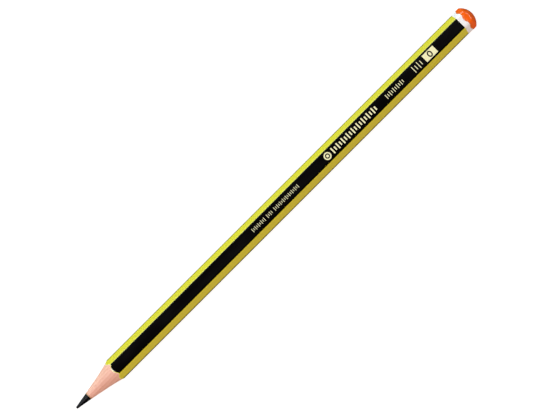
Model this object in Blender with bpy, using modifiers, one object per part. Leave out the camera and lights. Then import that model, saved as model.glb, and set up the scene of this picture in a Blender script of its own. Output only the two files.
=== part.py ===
"""A sharpened hexagonal graphite pencil, lying on one of its two black sides.

Metres, +Z up. The pencil lies along X, its point at -X and its dipped end at +X. The origin is
below the middle of its length, on the surface that it lies on.

A piece of the barrel starts as an outline across the barrel, extruded along it. The sharpener
then cuts the point, and the end former rounds the other end. The barrel's films and dips are
the same rounded hexagon, each grown or shrunk by the films that lie under or over it.
"""

import math

import bmesh
import bpy
import mathutils

MM = 0.001

# The barrel, measured over its black lacquer.
LENGTH = 175.0 * MM
ACROSS_FLATS = 7.1 * MM
CORNER_RADIUS = 1.2 * MM

# The point.
LEAD_DIAMETER = 2.4 * MM
LEAD_SHOWN = 5.1 * MM  # from the tip to the wood
POINT_LENGTH = 17.2 * MM  # from the tip to the lacquer, at a corner of the barrel
TIP_RADIUS = 0.4 * MM
FLARE_LENGTH = 2.2 * MM  # the cone widens faster here, up to the lacquer at a corner
FLARE_RADIUS = 3.1 * MM  # the cone's radius where it starts to

# The films, from the lead out, and the gap that keeps two neighbours apart.
GLUE_FILM = 0.06 * MM
PRIMER_FILM = 0.06 * MM
YELLOW_FILM = 0.08 * MM
BLACK_FILM = 0.05 * MM
WHITE_FILM = 0.08 * MM
ORANGE_FILM = 0.10 * MM
FOIL_FILM = 0.03 * MM
LAYER_GAP = 0.02 * MM

# The corner lines and the dipped end.
CORNER_LINE_WIDTH = 1.2 * MM
WHITE_DIP_LENGTH = 5.3 * MM
ORANGE_DIP_LENGTH = 4.0 * MM  # at the middle of a flat side
ORANGE_DIP_LOBE = 0.6 * MM  # how much shorter the orange dip is at a corner
END_CROWN = 2.1 * MM  # height of the rounded end, from its widest corners

# The stamped foil on the upper side: a strip's length and width, and its middle's distance from
# the dipped end.
FOIL_STRIPS = {
    "foil_strip_small": (20.0 * MM, 1.3 * MM, 87.5 * MM),
    "foil_strip_bold": (22.7 * MM, 2.1 * MM, 54.3 * MM),
    "foil_strip_series": (7.4 * MM, 1.6 * MM, 34.6 * MM),
    "foil_strip_grade": (3.5 * MM, 2.4 * MM, 24.5 * MM),
}
FOIL_PANEL_LENGTH = 4.8 * MM
FOIL_PANEL_WIDTH = 2.6 * MM
FOIL_PANEL_FROM_END = 19.0 * MM
FOIL_WINDOW = 1.9 * MM  # diameter of the round window in the panel
FOIL_DOT = 0.9 * MM  # diameter of the dot in the window

# How finely round shapes are cut.
CORNER_STEP = 10.0  # degrees of a rounded corner to one flat of its mesh
TURNED_STEPS = 48
LEAD_STEPS = 32
CROWN_STEPS = 8
TIP_STEPS = 4
FOIL_STEPS = 24
WELD = 0.001 * MM  # points closer than this become one
SHARP_ANGLE = 25.0  # degrees between two faces, from which their edge is shaded sharp
SPARE = 1.0 * MM  # how far a blank or a cutter runs past what it is cut to

# How far each film's outer and inner skin lie outside the black lacquer's own outer skin. The
# barrel under the dips ends at the yellow coat's outer skin, on its rounded end too.
BLACK_SKINS = (0.0, -BLACK_FILM)
YELLOW_SKINS = (BLACK_SKINS[1] - LAYER_GAP, BLACK_SKINS[1] - LAYER_GAP - YELLOW_FILM)
PRIMER_SKINS = (YELLOW_SKINS[1] - LAYER_GAP, YELLOW_SKINS[1] - LAYER_GAP - PRIMER_FILM)
WOOD_SKIN = PRIMER_SKINS[1] - LAYER_GAP
WHITE_SKINS = (YELLOW_SKINS[0] + LAYER_GAP + WHITE_FILM, YELLOW_SKINS[0] + LAYER_GAP)
ORANGE_SKINS = (WHITE_SKINS[0] + LAYER_GAP + ORANGE_FILM, WHITE_SKINS[0] + LAYER_GAP)

TIP_AT = -LENGTH / 2
END_AT = LENGTH / 2
BLANK_START = TIP_AT - SPARE
BLANK_END = END_AT + SPARE
BLACK_END = END_AT - WHITE_DIP_LENGTH - LAYER_GAP  # the black lacquer stops where the dip starts
LEAD_RADIUS = LEAD_DIAMETER / 2
GLUE_BORE = LEAD_RADIUS + LAYER_GAP
GROOVE_RADIUS = GLUE_BORE + GLUE_FILM + LAYER_GAP
AXIS_HEIGHT = ACROSS_FLATS / 2 + ORANGE_SKINS[0]

UPPER_SIDE = (60.0, 120.0)  # directions, in degrees from +Y, between the upper side's corners
ALL_ROUND = (-30.0, 330.0)
UPRIGHT = (0.0, 0.0, 0.0)
TURN_TO_X = (0.0, math.pi / 2, 0.0)
OUTLINE_TO_X = (math.pi / 2, 0.0, math.pi / 2)
HALF_TURN = (math.pi, 0.0, 0.0)

PARTS = "graphite_pencil"
CUTTERS = "cutters"


def clear_scene():
    for thing in list(bpy.data.objects):
        bpy.data.objects.remove(thing, do_unlink=True)
    for name in (PARTS, CUTTERS):
        bpy.context.scene.collection.children.link(bpy.data.collections.new(name))


def finish(name, colour, roughness, metallic=0.0, coat=0.0):
    material = bpy.data.materials.new(name)
    material.use_nodes = True
    shader = material.node_tree.nodes["Principled BSDF"]
    shader.inputs["Base Color"].default_value = (*colour, 1.0)
    shader.inputs["Roughness"].default_value = roughness
    shader.inputs["Metallic"].default_value = metallic
    shader.inputs["Coat Weight"].default_value = coat
    material.diffuse_color = (*colour, 1.0)
    return material


def add_object(name, data, collection, rotation=UPRIGHT):
    """Adds an object that hangs on the pencil's axis."""
    thing = bpy.data.objects.new(name, data)
    bpy.data.collections[collection].objects.link(thing)
    thing.parent = bpy.data.objects.get("pencil_axis")
    thing.rotation_euler = rotation
    if collection == CUTTERS:
        thing.hide_render = True
        thing.display_type = "WIRE"
    return thing


def add_axis():
    """An empty on the pencil's axis, which carries every piece."""
    axis = bpy.data.objects.new("pencil_axis", None)
    bpy.data.collections[PARTS].objects.link(axis)
    axis.location = (0.0, 0.0, AXIS_HEIGHT)
    bpy.context.view_layer.update()


def shade(thing, material):
    thing.data.materials.append(material)
    thing.data.shade_smooth()
    thing.data.set_sharp_from_angle(angle=math.radians(SHARP_ANGLE))


def boolean(thing, operation, other):
    modifier = thing.modifiers.new(f"{operation.lower()} {other.name}", "BOOLEAN")
    modifier.operation = operation
    modifier.object = other
    modifier.solver = "EXACT"


def turned(name, profile, collection, steps):
    """A turned solid. Its profile is (radius, along) and runs down its outer side from +X to -X.

    It starts half a step round, so that no edge of a cutter runs along a corner of the barrel.
    """
    mesh = bpy.data.meshes.new(name)
    ends = list(zip(range(len(profile)), [*range(1, len(profile)), 0]))
    on_axis = [radius == 0.0 for radius, _ in profile]
    edges = [(a, b) for a, b in ends if not (on_axis[a] and on_axis[b])]
    start = math.pi / steps
    outward = (math.cos(start), math.sin(start))
    points = [(radius * outward[0], radius * outward[1], along) for radius, along in profile]
    mesh.from_pydata(points, edges, [])
    thing = add_object(name, mesh, collection, TURN_TO_X)
    screw = thing.modifiers.new("turn", "SCREW")
    screw.steps = steps
    screw.render_steps = steps
    screw.use_merge_vertices = True
    screw.merge_threshold = WELD
    screw.use_smooth_shade = True
    return thing


def flat_solid(name, outlines, thickness, place, rotation, collection):
    """A slab with the given closed outlines, whose middle is at place from the pencil's axis."""
    curve = bpy.data.curves.new(name, "CURVE")
    curve.dimensions = "2D"
    curve.fill_mode = "BOTH"
    curve.extrude = thickness / 2
    for outline in outlines:
        spline = curve.splines.new("POLY")
        spline.points.add(len(outline) - 1)
        for point, (first, second) in zip(spline.points, outline):
            point.co = (first, second, 0.0, 1.0)
        spline.use_cyclic_u = True
    thing = add_object(name, curve, collection, rotation)
    thing.location = place
    return as_mesh(thing, collection)


def extruded(name, outlines, start, end, collection):
    """A solid with the given closed outlines (across, up), from start to end along the pencil."""
    place = ((start + end) / 2, 0.0, 0.0)
    return flat_solid(name, outlines, end - start, place, OUTLINE_TO_X, collection)


def as_mesh(thing, collection):
    """The curve object as a mesh with welded caps, in the curve's place."""
    bpy.context.view_layer.update()
    graph = bpy.context.evaluated_depsgraph_get()
    mesh = bpy.data.meshes.new_from_object(thing.evaluated_get(graph))
    work = bmesh.new()
    work.from_mesh(mesh)
    bmesh.ops.remove_doubles(work, verts=work.verts, dist=WELD)
    work.to_mesh(mesh)
    work.free()
    name = thing.name
    place = thing.matrix_world.copy()
    bpy.data.objects.remove(thing)
    made = add_object(name, mesh, collection)
    made.matrix_world = place
    return made


def reach(growth):
    """Distance from the axis to a corner of the barrel's outline, grown by growth."""
    return corner_centre() + CORNER_RADIUS + growth


def corner_centre():
    return (ACROSS_FLATS / 2 - CORNER_RADIUS) / math.cos(math.radians(30))


def around(growth, start, end):
    """The barrel's outline grown by growth, where it faces the directions from start to end."""
    points = []
    for corner in range(-1, 6):
        middle = 60.0 * corner
        first = max(start, middle - 30.0)
        last = min(end, middle + 30.0)
        if first >= last:
            continue
        steps = math.ceil((last - first) / CORNER_STEP)
        out = math.radians(middle)
        for step in range(steps + 1):
            facing = math.radians(first + (last - first) * step / steps)
            across = corner_centre() * math.cos(out) + (CORNER_RADIUS + growth) * math.cos(facing)
            up = corner_centre() * math.sin(out) + (CORNER_RADIUS + growth) * math.sin(facing)
            points.append((across, up))
    return points


def circle(radius, steps):
    turns = [2 * math.pi * (step + 0.5) / steps for step in range(steps)]
    return [(radius * math.cos(turn), radius * math.sin(turn)) for turn in turns]


def crown_radius(growth):
    """Radius of the rounded end's ball, which all layers share the centre of."""
    widest = reach(ORANGE_SKINS[0])
    outermost = (widest**2 + END_CROWN**2) / (2 * END_CROWN)
    return outermost - ORANGE_SKINS[0] + growth


def crown_along(growth, radius):
    """Where the rounded end of the layer with this growth lies, at a radius from the axis."""
    centre = END_AT - crown_radius(ORANGE_SKINS[0])
    return centre + math.sqrt(crown_radius(growth) ** 2 - radius**2)


def crown_profile(growth, widest):
    """The rounded end, from the axis out to the radius widest."""
    radii = [
        crown_radius(growth) * math.sin(step / CROWN_STEPS * math.asin(widest / crown_radius(growth)))
        for step in range(CROWN_STEPS + 1)
    ]
    return [(radius, crown_along(growth, radius)) for radius in radii]


def end_former(name, growth, front):
    """A bullet that holds what is left of a layer once its end is rounded."""
    crown = crown_profile(growth, (crown_radius(growth) + reach(growth)) / 2)
    wall = crown[-1][0]
    return turned(name, [*crown, (wall, front), (0.0, front)], CUTTERS, TURNED_STEPS)


def run_on(first, second, radius):
    """The point at this radius on the straight line through two (radius, along) points."""
    rise = (second[1] - first[1]) / (second[0] - first[0])
    return radius, first[1] + rise * (radius - first[0])


def cone_cutter(name, wall, blank_start):
    """A block with a conical hollow, whose wall runs through these (radius, along) points."""
    rim = run_on(wall[-2], wall[-1], 2 * wall[-1][0])
    apex = run_on(wall[0], wall[1], 0.0)
    front = min(apex[1], blank_start) - SPARE
    profile = [rim, (rim[0], front), (0.0, front), apex, *wall[1:-1]]
    return turned(name, profile, CUTTERS, TURNED_STEPS)


def add_tools():
    """The sharpener, and the former that rounds the barrel's other end."""
    wood_begins = (LEAD_RADIUS, TIP_AT + LEAD_SHOWN)
    lacquer_begins = (reach(BLACK_SKINS[0]), TIP_AT + POINT_LENGTH)
    flare_begins = (FLARE_RADIUS, TIP_AT + POINT_LENGTH - FLARE_LENGTH)
    cone = [wood_begins, flare_begins, lacquer_begins]
    sharpener = cone_cutter("sharpener", cone, BLANK_START)
    former = end_former("barrel_end_former", YELLOW_SKINS[0], BLANK_START - SPARE)
    return sharpener, former


def barrel_piece(name, outlines, tools, material, end=BLANK_END):
    """A piece that runs the length of the barrel, sharpened at one end and rounded at the other."""
    piece = extruded(name, outlines, BLANK_START, end, PARTS)
    sharpener, former = tools
    boolean(piece, "DIFFERENCE", sharpener)
    boolean(piece, "INTERSECT", former)
    shade(piece, material)
    return piece


def twin(piece, name):
    """The same piece on the other side of the pencil, half a turn round its axis."""
    other = piece.copy()
    other.name = name
    bpy.data.collections[PARTS].objects.link(other)
    other.rotation_euler.rotate(mathutils.Euler(HALF_TURN))
    return other


def add_lead():
    """The lead: a rod with a rounded back end, a cone and a slightly blunt tip."""
    taper = math.atan2(LEAD_RADIUS - TIP_RADIUS, LEAD_SHOWN - TIP_RADIUS)
    back = crown_profile(YELLOW_SKINS[0], LEAD_RADIUS)
    tip = []
    for step in range(TIP_STEPS, -1, -1):
        turn = (math.pi / 2 - taper) * step / TIP_STEPS
        tip.append((TIP_RADIUS * math.sin(turn), TIP_AT + TIP_RADIUS * (1 - math.cos(turn))))
    tip[-1] = (0.0, TIP_AT)
    profile = [*back, (LEAD_RADIUS, TIP_AT + LEAD_SHOWN), *tip]
    lead = turned("graphite_lead", profile, PARTS, LEAD_STEPS)
    shade(lead, finish("graphite", (0.025, 0.026, 0.03), 0.38, metallic=0.6))


def add_slats(tools):
    """Two wooden slats, each with half of the lead's groove, glued along the middle plane."""
    joint = GLUE_FILM / 2 + LAYER_GAP
    foot = math.degrees(math.asin(joint / (CORNER_RADIUS + WOOD_SKIN)))
    lip = math.asin(joint / GROOVE_RADIUS)
    groove = []
    for step in range(LEAD_STEPS // 2 + 1):
        turn = math.pi - lip - (math.pi - 2 * lip) * step / (LEAD_STEPS // 2)
        groove.append((GROOVE_RADIUS * math.cos(turn), GROOVE_RADIUS * math.sin(turn)))
    outline = [*around(WOOD_SKIN, foot, 180.0 - foot), *groove]
    wood = finish("cedar", (0.74, 0.45, 0.29), 0.6)
    twin(barrel_piece("upper_slat", [outline], tools, wood), "lower_slat")


def add_glue(tools):
    """The glue: a sleeve round the lead, with a thin wing on each side between the slats."""
    outer = GLUE_BORE + GLUE_FILM
    root = math.asin(GLUE_FILM / 2 / outer)
    wing_end = reach(WOOD_SKIN)
    outline = []
    for side in (0.0, math.pi):
        for step in range(LEAD_STEPS // 2 + 1):
            turn = side + root + (math.pi - 2 * root) * step / (LEAD_STEPS // 2)
            outline.append((outer * math.cos(turn), outer * math.sin(turn)))
        sign = -1.0 if side == 0.0 else 1.0
        outline.append((sign * wing_end, -sign * GLUE_FILM / 2))
        outline.append((sign * wing_end, sign * GLUE_FILM / 2))
    glue = finish("wood_glue", (0.80, 0.70, 0.50), 0.4)
    barrel_piece("glue_film", [outline, circle(GLUE_BORE, LEAD_STEPS)], tools, glue)


def add_coat(name, skins, tools, material):
    """A coat of lacquer all round the barrel."""
    outer, inner = skins
    barrel_piece(name, [around(outer, *ALL_ROUND), around(inner, *ALL_ROUND)], tools, material)


def add_stripe(names, directions, tools, material):
    """A stripe of black lacquer over the yellow, and its twin on the other side of the pencil."""
    outer, inner = BLACK_SKINS
    outline = [*around(outer, *directions), *reversed(around(inner, *directions))]
    twin(barrel_piece(names[0], [outline], tools, material, BLACK_END), names[1])


def add_black(tools):
    black = finish("black_lacquer", (0.006, 0.005, 0.007), 0.2, coat=0.6)
    add_stripe(("upper_stripe", "lower_stripe"), UPPER_SIDE, tools, black)
    half_line = math.degrees(CORNER_LINE_WIDTH / 2 / CORNER_RADIUS)
    lines = ("left_corner_line", "right_corner_line")
    add_stripe(lines, (-half_line, half_line), tools, black)


def add_dip(name, skins, length, material):
    """A cup of dipped lacquer over the rounded end, length long."""
    outer, inner = skins
    front = END_AT - length
    dip = extruded(name, [around(outer, *ALL_ROUND)], front, BLANK_END, PARTS)
    core_outline = around(inner, *ALL_ROUND)
    core = extruded(f"{name}_core", [core_outline], front - SPARE, BLANK_END, CUTTERS)
    boolean(dip, "INTERSECT", end_former(f"{name}_former", outer, front - 2 * SPARE))
    boolean(core, "INTERSECT", end_former(f"{name}_core_former", inner, front - 2 * SPARE))
    boolean(dip, "DIFFERENCE", core)
    shade(dip, material)
    return dip


def add_dips():
    """A white dip, and a shorter orange one over it whose rim is cut back at each corner."""
    white = finish("white_dip_lacquer", (0.86, 0.85, 0.83), 0.25, coat=0.5)
    add_dip("white_dip", WHITE_SKINS, WHITE_DIP_LENGTH, white)
    orange = finish("orange_dip_lacquer", (0.92, 0.13, 0.008), 0.22, coat=0.7)
    cap = add_dip("orange_dip", ORANGE_SKINS, ORANGE_DIP_LENGTH, orange)
    flat = (ACROSS_FLATS / 2 + ORANGE_SKINS[0], END_AT - ORANGE_DIP_LENGTH)
    corner = (reach(ORANGE_SKINS[0]), END_AT - ORANGE_DIP_LENGTH + ORANGE_DIP_LOBE)
    boolean(cap, "DIFFERENCE", cone_cutter("orange_rim_cutter", [flat, corner], flat[1]))


def rectangle(length, width):
    return [(x * length / 2, y * width / 2) for x, y in ((-1, -1), (1, -1), (1, 1), (-1, 1))]


def add_foil(name, outlines, from_end, material):
    """A piece of foil that lies flat on the upper stripe."""
    place = (END_AT - from_end, 0.0, ACROSS_FLATS / 2 + LAYER_GAP + FOIL_FILM / 2)
    shade(flat_solid(name, outlines, FOIL_FILM, place, UPRIGHT, PARTS), material)


def add_foils():
    """Plain strips where the stamping lies, and a panel with a round window and a dot in it."""
    foil = finish("cream_foil", (0.86, 0.85, 0.55), 0.35, metallic=0.1)
    for name, (length, width, from_end) in FOIL_STRIPS.items():
        add_foil(name, [rectangle(length, width)], from_end, foil)
    sheet = rectangle(FOIL_PANEL_LENGTH, FOIL_PANEL_WIDTH)
    window = circle(FOIL_WINDOW / 2, FOIL_STEPS)
    add_foil("foil_panel", [sheet, window], FOIL_PANEL_FROM_END, foil)
    add_foil("foil_dot", [circle(FOIL_DOT / 2, FOIL_STEPS)], FOIL_PANEL_FROM_END, foil)


def main():
    clear_scene()
    add_axis()
    tools = add_tools()
    add_lead()
    add_glue(tools)
    add_slats(tools)
    add_coat("primer_coat", PRIMER_SKINS, tools, finish("primer", (0.80, 0.78, 0.70), 0.5))
    yellow = finish("yellow_lacquer", (0.80, 0.78, 0.05), 0.22, coat=0.6)
    add_coat("yellow_coat", YELLOW_SKINS, tools, yellow)
    add_black(tools)
    add_dips()
    add_foils()


main()
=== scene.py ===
"""The looks of a sharpened hexagonal pencil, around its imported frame.

Metres, +Z up. The pencil lies along X with its point at -X. Every visible film, slat and dip is
made here as a fine closed mesh: rows of points along the barrel, whose front ends all lie on the
one cone that the sharpener cut.
"""

import math

import bmesh
import bpy
import numpy as np
from mathutils import Matrix, Vector, noise


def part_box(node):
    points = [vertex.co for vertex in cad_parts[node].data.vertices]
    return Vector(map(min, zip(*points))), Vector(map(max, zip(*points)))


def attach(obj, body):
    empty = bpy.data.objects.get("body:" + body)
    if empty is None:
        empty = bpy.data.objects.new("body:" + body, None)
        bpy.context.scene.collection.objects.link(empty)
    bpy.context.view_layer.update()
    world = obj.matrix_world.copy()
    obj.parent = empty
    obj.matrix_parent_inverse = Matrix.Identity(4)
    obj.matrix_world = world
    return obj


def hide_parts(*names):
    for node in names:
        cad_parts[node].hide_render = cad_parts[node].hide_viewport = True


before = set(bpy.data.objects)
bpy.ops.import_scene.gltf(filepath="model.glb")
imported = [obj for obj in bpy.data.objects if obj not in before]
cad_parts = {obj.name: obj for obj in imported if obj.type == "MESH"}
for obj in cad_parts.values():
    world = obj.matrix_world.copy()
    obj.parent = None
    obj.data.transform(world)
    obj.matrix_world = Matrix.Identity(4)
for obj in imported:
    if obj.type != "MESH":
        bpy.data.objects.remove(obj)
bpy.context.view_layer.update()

MM = 0.001
BODY = "root"

# The frame: where the axis lies, and how far the barrel's yellow skin is from it.
yellow_low, yellow_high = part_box("yellow_coat")
AXIS_Z = (yellow_low.z + yellow_high.z) / 2
FLAT_REACH = (yellow_high.z - yellow_low.z) / 2
CORNER_REACH = (yellow_high.y - yellow_low.y) / 2
SIDE_TURN = 60.0  # degrees from one side's middle to the next
HALF_SIDE = SIDE_TURN / 2
SECANT = 1 / math.cos(math.radians(HALF_SIDE))
CORNER_RADIUS = (FLAT_REACH * SECANT - CORNER_REACH) / (SECANT - 1)
CORNER_CENTRE = CORNER_REACH - CORNER_RADIUS
TIP_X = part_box("graphite_lead")[0].x
END_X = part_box("orange_dip")[1].x
WHITE_DIP_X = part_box("white_dip")[0].x
LEAD_RADIUS = (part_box("graphite_lead")[1].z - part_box("graphite_lead")[0].z) / 2
BLACK_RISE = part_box("upper_stripe")[1].z - AXIS_Z - FLAT_REACH
ORANGE_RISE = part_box("orange_dip")[1].z - AXIS_Z - FLAT_REACH

# The sharpened point.
LEAD_SHOWN = 5.1 * MM
POINT_LENGTH = 17.2 * MM
FLARE_LENGTH = 2.2 * MM  # the cone widens faster here, up to the lacquer at a corner
FLARE_RADIUS = 3.1 * MM
TIP_RADIUS = 0.4 * MM
WOOD_X = TIP_X + LEAD_SHOWN
FLARE_X = TIP_X + POINT_LENGTH - FLARE_LENGTH
CONE_SLOPE = (FLARE_RADIUS - LEAD_RADIUS) / (FLARE_X - WOOD_X)
FLARE_SLOPE = (CORNER_REACH + BLACK_RISE - FLARE_RADIUS) / FLARE_LENGTH
CHIPPED = 0.3 * MM  # how far the lacquer has chipped back at the front of a lobe
FLARE_BEND = 0.35 * MM  # how gently the cone turns into its flare

# How far each film's skin lies outside the yellow skin.
SEAM = 0.004 * MM  # what is left between two films here
YELLOW_SKINS = (0.0, -0.05 * MM)  # a film's outer skin and its inner one
PRIMER_SKINS = (YELLOW_SKINS[1] - SEAM, YELLOW_SKINS[1] - 0.035 * MM)
WOOD_SKIN = PRIMER_SKINS[1] - SEAM
BLACK_SKIN = BLACK_RISE - 0.01 * MM
WHITE_SKIN = 0.09 * MM
ORANGE_SKIN = ORANGE_RISE - 0.03 * MM
DIP_SEAM = 0.005 * MM  # what is left under a dip
FOIL_SKINS = (BLACK_SKIN + 0.016 * MM, BLACK_SKIN - 0.006 * MM)  # pressed a little into the black

# The dipped end.
ORANGE_LENGTH = 4.0 * MM
ORANGE_LOBE = 0.6 * MM  # how much shorter it is at a corner
END_CROWN = 2.1 * MM
SHOULDER_ROUNDS = 14  # how many times the shoulder's rows are averaged
UNDER_DIP_X = END_X - END_CROWN - 0.25 * MM  # where the films below the dips end

# How finely the pieces are made.
ARC_STEPS = 12
FLAT_STEPS = 14
BODY_ROWS = 90
SWELL_SIZE = 5 * MM
SWELL_FADE = 20  # the swell fades in over the first 1 / SWELL_FADE of a film, so its cut edge is true
CRISP_FILM = 12.0  # degrees: a film's cut and long edges are shallow, and stay crisp too

TURN = 2 * math.pi


def hex_colour(code):
    """An sRGB hex value as linear red, green, blue and 1."""
    parts = [int(code[place : place + 2], 16) / 255 for place in (1, 3, 5)]
    return (*[c / 12.92 if c <= 0.04045 else ((c + 0.055) / 1.055) ** 2.4 for c in parts], 1.0)


def smooth_step(value):
    """Eases from 0 to 1 as the value goes from 0 to 1, and stays level outside."""
    value = min(1.0, max(0.0, value))
    return value * value * (3 - 2 * value)


# ---------------------------------------------------------------- shapes


def outline(growth, start=-HALF_SIDE, end=360.0 - HALF_SIDE):
    """The rounded hexagon grown by growth, as (y, z) from the axis, facing from start to end."""
    radius = CORNER_RADIUS + growth
    points = []
    for corner in range(-1, 7):
        middle = SIDE_TURN * corner
        first = max(start, middle - HALF_SIDE)
        last = min(end, middle + HALF_SIDE)
        if first >= last:
            continue
        centre = np.array([math.cos(math.radians(middle)), math.sin(math.radians(middle))])
        centre = centre * CORNER_CENTRE
        steps = max(2, round(ARC_STEPS * (last - first) / SIDE_TURN))
        for step in range(steps + 1):
            facing = math.radians(first + (last - first) * step / steps)
            point = centre + radius * np.array([math.cos(facing), math.sin(facing)])
            if step == 0 and points:
                before = points[-1]
                points += [before + (point - before) * k / FLAT_STEPS for k in range(1, FLAT_STEPS)]
            points.append(point)
    if end - start == 360.0:
        before = points[-1]
        points += [before + (points[0] - before) * k / FLAT_STEPS for k in range(1, FLAT_STEPS)]
    return points


def cone_x(reach):
    """Where the cone has this radius: a straight cone, then a gentle bend into its flare."""
    past = (reach - FLARE_RADIUS) / FLARE_BEND
    bent = FLARE_BEND * (math.log1p(math.exp(past)) if past < 30 else past)
    straight = WOOD_X + (reach - LEAD_RADIUS) / CONE_SLOPE
    return straight - bent * (1 / CONE_SLOPE - 1 / FLARE_SLOPE)


def cut_x(y, z, chipped=CHIPPED):
    """Where the sharpener's cone comes out of a film here, chipped back most at a lobe's tip."""
    reach = math.hypot(y, z)
    turn = math.atan2(z, y)
    waver = 0.012 * math.sin(3 * turn + 0.6) + 0.016 * math.sin(7 * turn + 2.1)
    waver += 0.02 * noise.noise(Vector((4 * math.cos(turn), 4 * math.sin(turn), 7.0)))
    return cone_x(reach + waver * MM) + chipped * (1 - math.cos(6 * turn)) / 2


def ripple(x, y, z, size, height):
    """A slow swell in a film of lacquer, with swells about size long."""
    return height * noise.noise(Vector((x / (4 * size), y / size, z / size)))


def make_piece(name, points, faces, sharp=32.0):
    """A piece that rides on the pencil. An edge stays crisp where its faces are more than sharp
    degrees apart."""
    mesh = bpy.data.meshes.new(name)
    mesh.from_pydata(points, [], faces)
    outward = bmesh.new()
    outward.from_mesh(mesh)
    bmesh.ops.recalc_face_normals(outward, faces=outward.faces)
    outward.to_mesh(mesh)
    outward.free()
    mesh.shade_smooth()
    mesh.set_sharp_from_angle(angle=math.radians(sharp))
    piece = bpy.data.objects.new(name, mesh)
    bpy.context.scene.collection.objects.link(piece)
    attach(piece, BODY)
    return piece


def loop_faces(rows, columns, first=0, close_rows=True, close_columns=True):
    """The four-sided faces of a grid of points, row by row, that may close on itself both ways."""
    faces = []
    for row in range(rows if close_rows else rows - 1):
        for column in range(columns if close_columns else columns - 1):
            right = (column + 1) % columns
            below = (row + 1) % rows
            faces.append(
                (
                    first + row * columns + column,
                    first + row * columns + right,
                    first + below * columns + right,
                    first + below * columns + column,
                )
            )
    return faces


def raised(point, growth):
    """A point (y, z) of the yellow skin, moved out by growth."""
    y, z = point
    turn = math.atan2(z, y)
    corner = round(math.degrees(turn) / SIDE_TURN) * SIDE_TURN
    centre = CORNER_CENTRE * np.array([math.cos(math.radians(corner)), math.sin(math.radians(corner))])
    away = np.array([y, z]) - centre
    facing = math.degrees(math.atan2(away[1], away[0]))
    off = (facing - corner + 180.0) % 360.0 - 180.0
    facing = math.radians(corner + min(HALF_SIDE, max(-HALF_SIDE, off)))
    return np.array([y, z]) + growth * np.array([math.cos(facing), math.sin(facing)])


def coat(name, skins, back_x, swell):
    """A film of lacquer all round the barrel, cut by the sharpener and ending at back_x."""
    outer = outline(skins[0])
    inner = outline(skins[1])
    points = []
    for row in range(BODY_ROWS + 1):
        share = row / BODY_ROWS
        for y, z in outer:
            x = cut_x(y, z) * (1 - share) + back_x * share
            rise = ripple(x, y, z, SWELL_SIZE, swell) * smooth_step(share * SWELL_FADE)
            ry, rz = raised((y, z), rise)
            points.append((x, ry, AXIS_Z + rz))
    for y, z in inner:
        points.append((back_x, y, AXIS_Z + z))
    for y, z in inner:
        points.append((cut_x(y, z), y, AXIS_Z + z))
    faces = loop_faces(BODY_ROWS + 3, len(outer))
    return make_piece(name, points, faces, CRISP_FILM)


def stripe(name, start, end, half_turn, swell):
    """A stripe of black lacquer, thin at its two long edges, over directions start to end."""
    feather = 0.16 * MM  # how far in from an edge the film has its full height
    low = 0.008 * MM  # its height at the edge
    base = outline(0.0, start, end)
    runs = [0.0]
    for before, after in zip(base, base[1:]):
        runs.append(runs[-1] + float(np.linalg.norm(after - before)))
    rises = [
        low + (BLACK_SKIN - low) * smooth_step(min(run, runs[-1] - run) / feather) for run in runs
    ]
    sign = -1.0 if half_turn else 1.0
    columns = []
    for (y, z), rise in zip(base, rises):
        columns.append([])
        for row in range(BODY_ROWS + 1):
            share = row / BODY_ROWS
            top = raised((y, z), rise)
            x = cut_x(sign * top[0], sign * top[1]) * (1 - share) + WHITE_DIP_X * share
            lift = ripple(x, sign * y, sign * z, SWELL_SIZE, swell) * smooth_step(share * SWELL_FADE)
            top = raised((y, z), rise + lift)
            columns[-1].append((x, sign * top[0], AXIS_Z + sign * top[1]))
        bottom = raised((y, z), 0.5 * low)
        front = cut_x(sign * bottom[0], sign * bottom[1])
        columns[-1].append((WHITE_DIP_X, sign * bottom[0], AXIS_Z + sign * bottom[1]))
        columns[-1].append((front, sign * bottom[0], AXIS_Z + sign * bottom[1]))
    rows = BODY_ROWS + 3
    points = [point for column in columns for point in column]
    faces = loop_faces(len(columns), rows, close_rows=False)
    faces += [tuple(range(rows)), tuple(range(len(points) - rows, len(points)))]
    return make_piece(name, points, faces, CRISP_FILM)


def slat(name, up):
    """One slat: half of the hexagon, with its groove and a cone of open grain."""
    columns = 150
    cone_rows = 96
    groove = LEAD_RADIUS + 0.085 * MM  # the glue round the lead fills the difference
    joint = 0.034 * MM  # half of the glue line between the slats
    skin = outline(WOOD_SKIN, 0.0, 180.0)
    turns = np.array([math.atan2(z, y) for y, z in skin])
    reaches = np.array([math.hypot(y, z) for y, z in skin])
    back_x = UNDER_DIP_X - 0.05 * MM
    points = []
    for column in range(columns + 1):
        share = column / columns
        widest = float(np.interp(math.pi * share, turns, reaches))
        profile = []
        for row in range(cone_rows + 1):
            reach = groove + (widest - groove) * row / cone_rows
            y, z = reach * math.cos(math.pi * share), up * reach * math.sin(math.pi * share)
            x = cut_x(y, z, 0.0)
            place = Vector((x / (5 * MM), y / (0.22 * MM), z / (0.22 * MM) + 9.0))
            grain = 0.014 * MM * noise.noise(place)
            blade = 0.004 * MM * noise.noise(Vector((x / (0.1 * MM), 3 * share, 5.0 + up)))
            held = smooth_step(row / 5) * smooth_step((cone_rows - row) / 3)
            profile.append((x, reach + (grain + blade - 0.006 * MM) * held))
        profile += [(back_x, widest), (back_x, groove)]
        for x, reach in profile:
            first = math.asin(joint / reach)
            turn = first + (math.pi - 2 * first) * share
            points.append((x, reach * math.cos(turn), AXIS_Z + up * reach * math.sin(turn)))
    rows = cone_rows + 3
    faces = loop_faces(columns + 1, rows, close_rows=False)
    faces += [tuple(range(rows)), tuple(range(len(points) - rows, len(points)))]
    return make_piece(name, points, faces)


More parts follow.
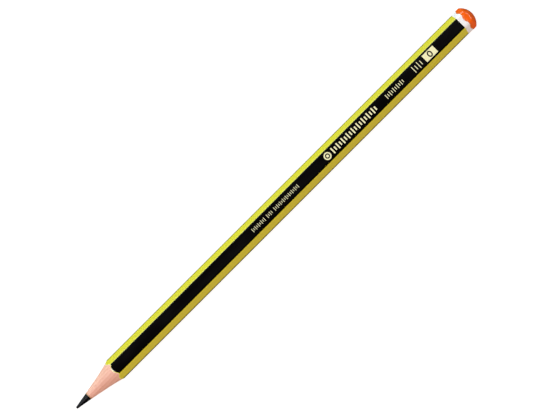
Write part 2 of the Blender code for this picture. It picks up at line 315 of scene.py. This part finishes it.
def lead(name):
    """The lead: a straight rod whose cone keeps the blade's fine rings and a slightly worn tip."""
    around = 120
    nose_rows = 12
    cone_rows = 150
    blade_pitch = 0.17  # mm from one ring of the blade to the next
    radius = LEAD_RADIUS + 0.012 * MM
    taper = math.atan2(LEAD_RADIUS - TIP_RADIUS, LEAD_SHOWN - TIP_RADIUS)
    profile = []
    for step in range(1, nose_rows + 1):
        turn = (math.pi / 2 - taper) * step / nose_rows
        profile.append((TIP_X + TIP_RADIUS * (1 - math.cos(turn)), TIP_RADIUS * math.sin(turn)))
    start_x, start_r = profile[-1]
    for step in range(1, cone_rows + 1):
        share = step / cone_rows
        profile.append((start_x + (WOOD_X - start_x) * share, start_r + (radius - start_r) * share))
    profile += [(WOOD_X + 1.5 * MM, radius), (END_X - END_CROWN, radius)]
    points = []
    for row, (x, reach) in enumerate(profile):
        for column in range(around):
            turn = TURN * column / around
            cut = smooth_step((row - nose_rows / 2) / nose_rows) if x <= WOOD_X else 0.0
            along = (x - TIP_X) / MM
            ring = math.sin(TURN * (along / blade_pitch + column / around)) * 0.0022 * MM
            place = Vector((along * 5.0, 1.4 * math.cos(turn), 1.4 * math.sin(turn)))
            rough = noise.noise(place) * 0.008 * MM
            grit = noise.noise(Vector((along * 14.0, 8 * math.cos(turn), 8 * math.sin(turn))))
            out = reach + cut * (ring + rough + 0.0035 * MM * grit - 0.002 * MM)
            points.append((x, out * math.cos(turn), AXIS_Z + out * math.sin(turn)))
    faces = loop_faces(len(profile), around, close_rows=False)
    faces += [tuple(range(around)), tuple(range(len(points) - around, len(points)))]
    return make_piece(name, points, faces)


def dip(name, skin, rim_at, bead, inner_skin):
    """A dipped cup over the rounded end: a beaded rim, the six sides, a soft shoulder and a crown."""
    widest = CORNER_REACH + ORANGE_RISE
    ball = (widest**2 + END_CROWN**2) / (2 * END_CROWN) - ORANGE_SKIN + skin
    centre_x = END_X - ball - ORANGE_SKIN + skin
    side_rows = 34
    crown_rows = 30
    rim_rise = 0.16 * MM  # how far behind its edge the dip has its full thickness
    bead_at = 0.3 * MM
    bead_width = 0.2 * MM
    rim_run = 0.9 * MM  # how far back the rim's unevenness dies out, six of these from the edge

    def cup(growth, with_bead):
        """The rows of one skin, from the rim to the crown's middle."""
        rows = []
        base = outline(growth)
        sphere = ball - skin + growth
        for y, z in base:
            reach = math.hypot(y, z)
            edge_x = centre_x + math.sqrt(sphere**2 - reach**2)
            start_x = rim_at(y, z)
            line = []
            for step in range(side_rows):
                share = (step / side_rows) ** 1.6  # closer rows at the rim
                line.append((start_x + (edge_x - start_x) * share, reach))
            for step in range(crown_rows):
                out = reach * math.cos(math.pi / 2 * step / crown_rows)
                line.append((centre_x + math.sqrt(sphere**2 - out**2), out))
            line = np.array(line)
            for _ in range(SHOULDER_ROUNDS):
                line[1:-1] = (line[:-2] + 2 * line[1:-1] + line[2:]) / 4
            rows.append(line)
        made = []
        for row in range(side_rows + crown_rows):
            for (y, z), line in zip(base, rows):
                x, out = line[row]
                reach = math.hypot(y, z)
                run = x - line[0][0]
                lift = 0.0
                if with_bead:
                    full = smooth_step(run / rim_rise)
                    swell = math.exp(-(((run - bead_at) / bead_width) ** 2))
                    lift = (full - 1.0) * (growth - inner_skin) * 0.9 + bead * swell * full
                    lift += ripple(x, y, z, 1.6 * MM, 0.012 * MM) * full
                    lift *= smooth_step((rim_run * 6 - run) / rim_run)
                scale = (out + lift) / reach
                made.append((x, y * scale, AXIS_Z + z * scale))
        made.append((centre_x + sphere, 0.0, AXIS_Z))
        return made

    outer = cup(skin, True)
    inner = cup(inner_skin, False)
    around = len(outline(0.0))
    rows = side_rows + crown_rows
    count = len(outer)
    faces = []
    for first in (0, count):
        faces += loop_faces(rows, around, first, close_rows=False)
        pole = first + count - 1
        last = first + (rows - 1) * around
        faces += [(last + k, pole, last + (k + 1) % around) for k in range(around)]
    for k in range(around):
        right = (k + 1) % around
        faces.append((k, right, count + right, count + k))
    piece = make_piece(name, outer + inner, faces)
    rim_colour_run = 0.5 * MM  # how far behind its edge the rim colour fades out: on the white dip the coat below shows through there, on the orange dip it is painted shade along the bead
    film = piece.data.attributes.new("film", "FLOAT", "POINT")
    depth = []
    for row in range(rows):
        for k in range(around):
            behind = outer[row * around + k][0] - outer[k][0]
            depth.append(smooth_step(behind / rim_colour_run))
    depth.append(1.0)
    film.data.foreach_set("value", depth + [1.0] * count)
    return piece


def orange_rim(y, z):
    """The orange dip's rim: it lies further back at a corner, where the lacquer drew away."""
    reach = math.hypot(y, z) - FLAT_REACH
    lobe = ORANGE_LOBE * min(1.0, reach / (CORNER_REACH - FLAT_REACH))
    waver = 0.05 * MM * noise.noise(Vector((y / (1.5 * MM), z / (1.5 * MM), 3.0)))
    return END_X - ORANGE_LENGTH + lobe + waver


def white_rim(y, z):
    """The white dip's rim, almost level."""
    return WHITE_DIP_X + 0.03 * MM * noise.noise(Vector((y / (1.2 * MM), z / (1.2 * MM), 8.0)))


def foil(name, shapes, middle_x):
    """Thin leaves of foil laid on the upper stripe. A shape is an outline of (along, across) loops."""
    points, faces = [], []
    for loop in shapes:
        count = len(loop)
        first = len(points)
        for height in FOIL_SKINS:
            for along, across in loop:
                points.append((middle_x + along, across, AXIS_Z + FLAT_REACH + height - drop(across)))
        faces.append(tuple(first + k for k in range(count)))
        faces.append(tuple(first + count + k for k in reversed(range(count))))
        for k in range(count):
            right = (k + 1) % count
            faces.append((first + k, first + count + k, first + count + right, first + right))
    return make_piece(name, points, faces)


def drop(across):
    """How far the upper side falls away at this distance from its middle."""
    flat = CORNER_CENTRE / 2
    past = max(0.0, abs(across) - flat)
    radius = CORNER_RADIUS + BLACK_SKIN
    return radius - math.sqrt(max(0.0, radius**2 - past**2))


def bar(along, across, length, width, slant=0.0):
    """A bar of foil with four corners, its middle at (along, across)."""
    half_l, half_w = length / 2, width / 2
    corners = ((-half_l, -half_w), (half_l, -half_w), (half_l, half_w), (-half_l, half_w))
    return [(along + a + slant * b, across + b) for a, b in corners]


def hatch(total, height, groups, stroke):
    """Groups of upright bars, long and short by turns, that fill a total length."""
    pitch = (total - stroke) / (sum(groups) + len(groups) - 2)
    shapes = []
    place = 0
    for group in groups:
        for index in range(group):
            tall = height * (0.64 if index % 2 else 1.0)
            shapes.append(bar(place * pitch + (stroke - total) / 2, 0.0, stroke, tall))
            place += 1
        place += 1
    return shapes


def band(outer, inner, steps):
    """A round band, as two halves: outer and inner are its radii."""
    halves = []
    for side in (1, -1):
        turns = [side * math.pi * k / steps for k in range(steps + 1)]
        loop = [(outer * math.cos(turn), outer * math.sin(turn)) for turn in turns]
        loop += [(inner * math.cos(turn), inner * math.sin(turn)) for turn in reversed(turns)]
        halves.append(loop[::side])
    return halves


def ring_sheet(length, width, hole_along, hole_across, steps):
    """A rectangle with an oval hole, as two closed halves that share their middle edges."""
    halves = []
    for side in (1, -1):
        loop = []
        for k in range(steps + 1):
            turn = math.pi * k / steps
            loop.append((hole_along * math.cos(turn), side * hole_across * math.sin(turn)))
        loop += [(-length / 2, 0.0), (-length / 2, side * width / 2)]
        loop += [(length / 2, side * width / 2), (length / 2, 0.0)]
        halves.append(loop if side < 0 else loop[::-1])
    return halves


def oval(half_along, half_across, steps):
    """A full oval, as one loop."""
    turns = [TURN * k / steps for k in range(steps)]
    return [(half_along * math.cos(turn), half_across * math.sin(turn)) for turn in turns]


# ---------------------------------------------------------------- finishes


def add_node(tree, kind, values=None, links=None, **settings):
    """Adds a node to the tree, with its settings, its sockets' values and what is linked to them."""
    made = tree.nodes.new(kind)
    for name, value in settings.items():
        setattr(made, name, value)
    for socket, value in (values or {}).items():
        made.inputs[socket].default_value = value
    for socket, source in (links or {}).items():
        tree.links.new(source, made.inputs[socket])
    return made


def start_finish(name):
    """A new material, its node tree, its shader and the piece's own coordinates in metres."""
    material = bpy.data.materials.new(name)
    material.use_nodes = True
    tree = material.node_tree
    shader = tree.nodes["Principled BSDF"]
    place = add_node(tree, "ShaderNodeTexCoord").outputs["Object"]
    return material, tree, shader, place


def sized(tree, place, along, across):
    """The coordinates scaled so that a pattern's unit is along by across, in metres."""
    scale = (1 / along, 1 / across, 1 / across)
    return add_node(tree, "ShaderNodeMapping", {"Scale": scale}, {"Vector": place}).outputs[0]


def lacquer(
    name, colours, roughness, coat_weight, patch=6 * MM, peel=0.55 * MM, depth=0.0022 * MM, film=None
):
    """Sprayed or drawn cellulose lacquer. Its pigment clouds a little, and its skin has a fine orange
    peel, a few hairline scratches along the barrel and duller patches where fingers held it. The
    clouds mix its two colours, or the piece's attribute named film does."""
    material, tree, shader, place = start_finish(name)
    cloud = add_node(
        tree,
        "ShaderNodeTexNoise",
        {"Scale": 1.0, "Detail": 3.0, "Roughness": 0.55},
        {"Vector": sized(tree, place, 3 * patch, patch)},
    ).outputs["Fac"]
    mixed_by = cloud
    if film:
        mixed_by = add_node(tree, "ShaderNodeAttribute", attribute_name=film).outputs["Fac"]
    mixed = add_node(
        tree,
        "ShaderNodeMix",
        {"A": hex_colour(colours[0]), "B": hex_colour(colours[1])},
        {"Factor": mixed_by},
        data_type="RGBA",
    )
    tree.links.new(mixed.outputs["Result"], shader.inputs["Base Color"])
    hairs = add_node(
        tree,
        "ShaderNodeTexNoise",
        {"Scale": 1.0, "Detail": 4.0, "Roughness": 0.7},
        {"Vector": sized(tree, place, 7 * MM, 0.09 * MM)},
    ).outputs["Fac"]
    scratched = add_node(
        tree,
        "ShaderNodeMapRange",
        {"From Min": 0.62, "From Max": 0.74, "To Min": 0.0, "To Max": 0.12},
        {"Value": hairs},
    ).outputs[0]
    handled = add_node(
        tree,
        "ShaderNodeMapRange",
        {"From Min": 0.3, "From Max": 0.75, "To Min": roughness - 0.04, "To Max": roughness + 0.08},
        {"Value": cloud},
    ).outputs[0]
    dull = add_node(tree, "ShaderNodeMath", links={0: scratched, 1: handled}, operation="ADD")
    tree.links.new(dull.outputs[0], shader.inputs["Roughness"])
    pitted = add_node(
        tree,
        "ShaderNodeTexNoise",
        {"Scale": 1.0, "Detail": 2.0},
        {"Vector": sized(tree, place, peel, peel)},
    ).outputs["Fac"]
    bump = add_node(
        tree,
        "ShaderNodeBump",
        {"Strength": 0.6, "Distance": depth},
        {"Height": pitted},
    )
    tree.links.new(bump.outputs[0], shader.inputs["Normal"])
    shader.inputs["IOR"].default_value = 1.5
    shader.inputs["Coat Weight"].default_value = coat_weight
    shader.inputs["Coat Roughness"].default_value = 0.12
    return material


def dipped(name, thick, thin, roughness):
    """Thick dip lacquer. It pulled thin at its rim, and its second colour is mixed in there: on the
    white dip that is the coat under it showing through, and on the orange dip a darker orange-brown
    that is painted shade along the rim's bead. It dried glossy with a slow swell."""
    colours = (thin, thick)
    material = lacquer(name, colours, roughness, 0.8, 3 * MM, 1.1 * MM, 0.004 * MM, "film")
    shader = material.node_tree.nodes["Principled BSDF"]
    shader.inputs["Coat Roughness"].default_value = 0.06
    return material


def cedar(name):
    """Pencil cedar, cut by a blade and left bare: pinkish, with straight growth lines along the
    slat, a slow change of tone, short dark pores and a satin where the blade pressed the fibres."""
    material, tree, shader, place = start_finish(name)
    rings = add_node(
        tree,
        "ShaderNodeTexWave",
        {"Scale": 0.34, "Distortion": 2.2, "Detail": 3.0, "Detail Scale": 0.6},
        {"Vector": sized(tree, place, 9 * MM, 1 * MM)},
        bands_direction="Y",
        wave_profile="SAW",
    ).outputs["Fac"]
    tones = add_node(
        tree,
        "ShaderNodeTexNoise",
        {"Scale": 1.0, "Detail": 2.0},
        {"Vector": sized(tree, place, 12 * MM, 1.1 * MM)},
    ).outputs["Fac"]
    both = add_node(
        tree,
        "ShaderNodeMath",
        links={0: rings, 1: tones},
        operation="MULTIPLY",
    ).outputs[0]
    wood = add_node(
        tree,
        "ShaderNodeMix",
        {"A": hex_colour("#e6b29c"), "B": hex_colour("#cf8f75")},
        {"Factor": both},
        data_type="RGBA",
    ).outputs["Result"]
    pores = add_node(
        tree,
        "ShaderNodeTexNoise",
        {"Scale": 1.0, "Detail": 3.0, "Roughness": 0.75},
        {"Vector": sized(tree, place, 1.6 * MM, 0.06 * MM)},
    ).outputs["Fac"]
    dark = add_node(
        tree,
        "ShaderNodeMapRange",
        {"From Min": 0.58, "From Max": 0.8, "To Min": 0.0, "To Max": 0.5},
        {"Value": pores},
    ).outputs[0]
    streaked = add_node(
        tree,
        "ShaderNodeMix",
        {"B": hex_colour("#a8633f")},
        {"Factor": dark, "A": wood},
        data_type="RGBA",
    ).outputs["Result"]
    tree.links.new(streaked, shader.inputs["Base Color"])
    satin = add_node(
        tree,
        "ShaderNodeMapRange",
        {"To Min": 0.46, "To Max": 0.68},
        {"Value": pores},
    ).outputs[0]
    tree.links.new(satin, shader.inputs["Roughness"])
    bump = add_node(
        tree,
        "ShaderNodeBump",
        {"Strength": 0.7, "Distance": 0.012 * MM},
        {"Height": pores},
        invert=True,
    )
    tree.links.new(bump.outputs[0], shader.inputs["Normal"])
    shader.inputs["IOR"].default_value = 1.45
    return material


def graphite(name):
    """Fired graphite and clay. The blade burnished it, so it is dark and grey-silver by turns, with
    fine rings round the cone and a grain of loose flakes."""
    material, tree, shader, place = start_finish(name)
    flakes = add_node(
        tree,
        "ShaderNodeTexNoise",
        {"Scale": 1.0, "Detail": 5.0, "Roughness": 0.7},
        {"Vector": sized(tree, place, 0.09 * MM, 0.14 * MM)},
    ).outputs["Fac"]
    mixed = add_node(
        tree,
        "ShaderNodeMix",
        {"A": hex_colour("#060607"), "B": hex_colour("#161619")},
        {"Factor": flakes},
        data_type="RGBA",
    )
    tree.links.new(mixed.outputs["Result"], shader.inputs["Base Color"])
    burnish = add_node(
        tree,
        "ShaderNodeMapRange",
        {"From Min": 0.3, "From Max": 0.7, "To Min": 0.26, "To Max": 0.44},
        {"Value": flakes},
    ).outputs[0]
    tree.links.new(burnish, shader.inputs["Roughness"])
    bump = add_node(
        tree,
        "ShaderNodeBump",
        {"Strength": 0.5, "Distance": 0.006 * MM},
        {"Height": flakes},
    )
    tree.links.new(bump.outputs[0], shader.inputs["Normal"])
    shader.inputs["Metallic"].default_value = 0.6
    return material


def stamped_foil(name):
    """Cream pigment foil, hot-stamped. It has a faint pearl, and pinholes where it didn't take."""
    material, tree, shader, place = start_finish(name)
    holes = add_node(
        tree,
        "ShaderNodeTexNoise",
        {"Scale": 1.0, "Detail": 3.0, "Roughness": 0.8},
        {"Vector": sized(tree, place, 0.11 * MM, 0.11 * MM)},
    ).outputs["Fac"]
    bare = add_node(
        tree,
        "ShaderNodeMapRange",
        {"From Min": 0.66, "From Max": 0.72},
        {"Value": holes},
    ).outputs[0]
    mixed = add_node(
        tree,
        "ShaderNodeMix",
        {"A": hex_colour("#eeecb8"), "B": hex_colour("#4c4934")},
        {"Factor": bare},
        data_type="RGBA",
    )
    tree.links.new(mixed.outputs["Result"], shader.inputs["Base Color"])
    pressed = add_node(
        tree,
        "ShaderNodeMapRange",
        {"To Min": 0.26, "To Max": 0.5},
        {"Value": holes},
    ).outputs[0]
    tree.links.new(pressed, shader.inputs["Roughness"])
    return material


def matt_primer(name):
    """Matt undercoat, a filled chalky film. It shows as the pale line between wood and yellow."""
    material, tree, shader, place = start_finish(name)
    chalk = add_node(
        tree,
        "ShaderNodeTexNoise",
        {"Scale": 1.0, "Detail": 3.0},
        {"Vector": sized(tree, place, 0.2 * MM, 0.2 * MM)},
    ).outputs["Fac"]
    mixed = add_node(
        tree,
        "ShaderNodeMix",
        {"A": hex_colour("#efe6cf"), "B": hex_colour("#ded0b0")},
        {"Factor": chalk},
        data_type="RGBA",
    )
    tree.links.new(mixed.outputs["Result"], shader.inputs["Base Color"])
    shader.inputs["Roughness"].default_value = 0.7
    return material


def dried_glue(name):
    """Dried wood glue, a thin amber line between the slats and round the lead."""
    material, tree, shader, place = start_finish(name)
    skin = add_node(
        tree,
        "ShaderNodeTexNoise",
        {"Scale": 1.0, "Detail": 2.0},
        {"Vector": sized(tree, place, 0.4 * MM, 0.15 * MM)},
    ).outputs["Fac"]
    mixed = add_node(
        tree,
        "ShaderNodeMix",
        {"A": hex_colour("#c79a70"), "B": hex_colour("#a87c56")},
        {"Factor": skin},
        data_type="RGBA",
    )
    tree.links.new(mixed.outputs["Result"], shader.inputs["Base Color"])
    shader.inputs["Roughness"].default_value = 0.45
    return material


# ---------------------------------------------------------------- the pencil


def dress(piece, material, slot, *nodes):
    """Gives a piece its finish, and hides the frame nodes that it stands for."""
    piece.data.materials.append(material)
    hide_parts(*nodes)


def make_point():
    """The lead, the two slats of wood, and the glue between them, which stays the frame's own."""
    dress(lead("sharpened_lead"), graphite("burnished_graphite"), "graphite", "graphite_lead")
    wood = cedar("bare_cut_cedar")
    dress(slat("upper_wood", 1), wood, "wood", "upper_slat")
    dress(slat("lower_wood", -1), wood, "wood", "lower_slat")
    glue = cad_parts["glue_film"]
    glue.data.materials.clear()
    glue.data.materials.append(dried_glue("dried_wood_glue"))


def make_lacquers():
    """The undercoat, the yellow and the black, each over the one before."""
    primer = coat("undercoat", PRIMER_SKINS, UNDER_DIP_X, 0.0)
    dress(primer, matt_primer("matt_undercoat"), "primer", "primer_coat")
    yellow = lacquer("yellow_cellulose_lacquer", ("#dcd331", "#d5ca29"), 0.3, 0.35)
    barrel = coat("yellow_lacquer", YELLOW_SKINS, UNDER_DIP_X, 0.006 * MM)
    dress(barrel, yellow, "yellow_lacquer", "yellow_coat")
    black = lacquer("black_cellulose_lacquer", ("#030202", "#020101"), 0.2, 0.08)
    half_stripe = 33.5  # degrees: the lacquer flowed a little past the corner's middle
    half_line = math.degrees(0.6 * MM / (CORNER_RADIUS + BLACK_RISE))
    runs = (
        ("upper_black_stripe", 90 - half_stripe, 90 + half_stripe, False, "upper_stripe"),
        ("lower_black_stripe", 90 - half_stripe, 90 + half_stripe, True, "lower_stripe"),
        ("left_black_line", -half_line, half_line, False, "left_corner_line"),
        ("right_black_line", -half_line, half_line, True, "right_corner_line"),
    )
    for name, start, end, half_turn, node in runs:
        dress(stripe(name, start, end, half_turn, 0.004 * MM), black, "black_lacquer", node)


def make_dips():
    """The white dip, and the shorter orange one over it."""
    white = dipped("glossy_white_dip", "#f4f2f2", "#efe9df", 0.24)
    ring = dip("white_dip_coat", WHITE_SKIN, white_rim, 0.012 * MM, DIP_SEAM)
    dress(ring, white, "white_dip_lacquer", "white_dip")
    # the second colour, a darker orange-brown, is painted shade along the rim's bead, not the white
    # below showing through
    orange = dipped("glossy_orange_dip", "#f9640d", "#d9701c", 0.2)
    cap = dip("orange_dip_coat", ORANGE_SKIN, orange_rim, 0.03 * MM, WHITE_SKIN + DIP_SEAM)
    dress(cap, orange, "orange_dip_lacquer", "orange_dip")


def make_marks():
    """Plain foil bars in four runs, a round mark, and a panel with an oval cut out round a dot."""
    cream = stamped_foil("cream_stamping_foil")
    mark = 1.25 * MM  # the round mark's radius
    # By node: the piece's name, its height, the bars in each group, a bar's width, room for the mark.
    runs = {
        "foil_strip_small": ("small_foil_bars", 1.3 * MM, (9, 4, 17), 0.18 * MM, 0.0),
        "foil_strip_bold": ("bold_foil_bars", 2.1 * MM, (18,), 0.46 * MM, 2 * mark + 0.9 * MM),
        "foil_strip_series": ("series_foil_bars", 1.6 * MM, (10,), 0.23 * MM, 0.0),
        "foil_strip_grade": ("grade_foil_bars", 2.4 * MM, (4,), 0.24 * MM, 0.0),
    }
    for node, (name, height, groups, stroke, indent) in runs.items():
        low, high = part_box(node)
        bars = hatch(high.x - low.x - indent, height, groups, stroke)
        shapes = [[(a + indent / 2, b) for a, b in loop] for loop in bars]
        if indent:
            start = (low.x - high.x) / 2 + mark
            marks = [*band(mark, 0.85 * MM, 20), oval(0.45 * MM, 0.45 * MM, 24)]
            shapes += [[(a + start, b) for a, b in loop] for loop in marks]
        dress(foil(name, shapes, (low.x + high.x) / 2), cream, "cream_foil", node)
    low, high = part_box("foil_panel")
    middle = (low.x + high.x) / 2
    sheet = ring_sheet(high.x - low.x, 2.62 * MM, 0.85 * MM, 1.1 * MM, 24)
    dress(foil("foil_panel_sheet", sheet, middle), cream, "cream_foil", "foil_panel")
    dot = foil("foil_panel_dot", [oval(0.42 * MM, 0.65 * MM, 32)], middle)
    dress(dot, cream, "cream_foil", "foil_dot")


# ---------------------------------------------------------------- the studio


def make_floor():
    """A plain floor that glows a little, so it is white right up to the pencil."""
    size = 3.0
    mesh = bpy.data.meshes.new("floor")
    corners = [(-size, -size, 0.0), (size, -size, 0.0), (size, size, 0.0), (-size, size, 0.0)]
    mesh.from_pydata(corners, [], [(0, 1, 2, 3)])
    floor = bpy.data.objects.new("floor", mesh)
    bpy.context.scene.collection.objects.link(floor)
    material = bpy.data.materials.new("white_paper_floor")
    material.use_nodes = True
    shader = material.node_tree.nodes["Principled BSDF"]
    shader.inputs["Base Color"].default_value = hex_colour("#8c8c8c")
    shader.inputs["Roughness"].default_value = 0.9
    shader.inputs["Emission Color"].default_value = (1.0, 1.0, 1.0, 1.0)
    shader.inputs["Emission Strength"].default_value = 0.86
    mesh.materials.append(material)
    floor.visible_glossy = False  # so that the black lacquer stays deep


def add_lamp(name, place, size, power, colour):
    """A soft square lamp, turned to the pencil's middle."""
    lamp = bpy.data.lights.new(name, "AREA")
    lamp.shape = "RECTANGLE"
    lamp.size, lamp.size_y = size
    lamp.energy = power
    lamp.color = colour
    holder = bpy.data.objects.new(name, lamp)
    bpy.context.scene.collection.objects.link(holder)
    holder.location = place
    holder.rotation_euler = (-Vector(place)).to_track_quat("-Z", "Y").to_euler()
    return holder


def make_lights():
    """A cool key on the left sides, a warm fill on the right ones, and two soft lamps above."""
    add_lamp("key", (0.0, 0.64, 0.26), (1.1, 0.45), 4.15, (0.73, 1.0, 0.98))
    fill = add_lamp("fill", (0.0, -0.6, 0.36), (1.2, 0.6), 1.6, (1.0, 0.5, 0.15))
    fill.visible_glossy = False  # the black lacquer would mirror its warm tint
    add_lamp("front", (-0.9, 0.15, 1.05), (0.6, 0.6), 15.0, (0.98, 0.93, 1.0))
    add_lamp("back", (0.9, 0.1, 1.05), (0.6, 0.6), 7.0, (0.98, 0.93, 1.0))
    world = bpy.data.worlds.new("studio")
    world.use_nodes = True
    sky = world.node_tree.nodes["Background"]
    sky.inputs["Color"].default_value = (1.0, 1.0, 1.0, 1.0)
    sky.inputs["Strength"].default_value = 0.012
    bpy.context.scene.world = world


def make_camera():
    """A long lens, almost straight above the upper side, with the point at the lower left."""
    distance = 1.5
    seen_width = 171.55 * MM
    toward_point = math.radians(5.0)
    toward_right = math.radians(4.0)
    back = Vector((-math.sin(toward_point), -math.sin(toward_right), 1.0)).normalized()
    along = (Vector((1.0, 0.0, 0.0)) - back * back.x).normalized()
    across = back.cross(along)
    right = (along - across).normalized()
    up = (along + across).normalized()
    lens = bpy.data.cameras.new("camera")
    lens.sensor_width = 36.0
    lens.lens = lens.sensor_width * distance / seen_width
    camera = bpy.data.objects.new("camera", lens)
    bpy.context.scene.collection.objects.link(camera)
    aim = Vector((0.0, 0.0, AXIS_Z)) + up * 1.1 * MM - right * 0.06 * MM
    place = Matrix((right, up, back)).transposed().to_4x4()
    place.translation = aim + back * distance
    camera.matrix_world = place
    bpy.context.scene.camera = camera
    bpy.context.scene.view_settings.view_transform = "Standard"
    bpy.context.scene.view_settings.look = "None"


make_camera()
make_point()
make_lacquers()
make_dips()
make_marks()
make_floor()
make_lights()
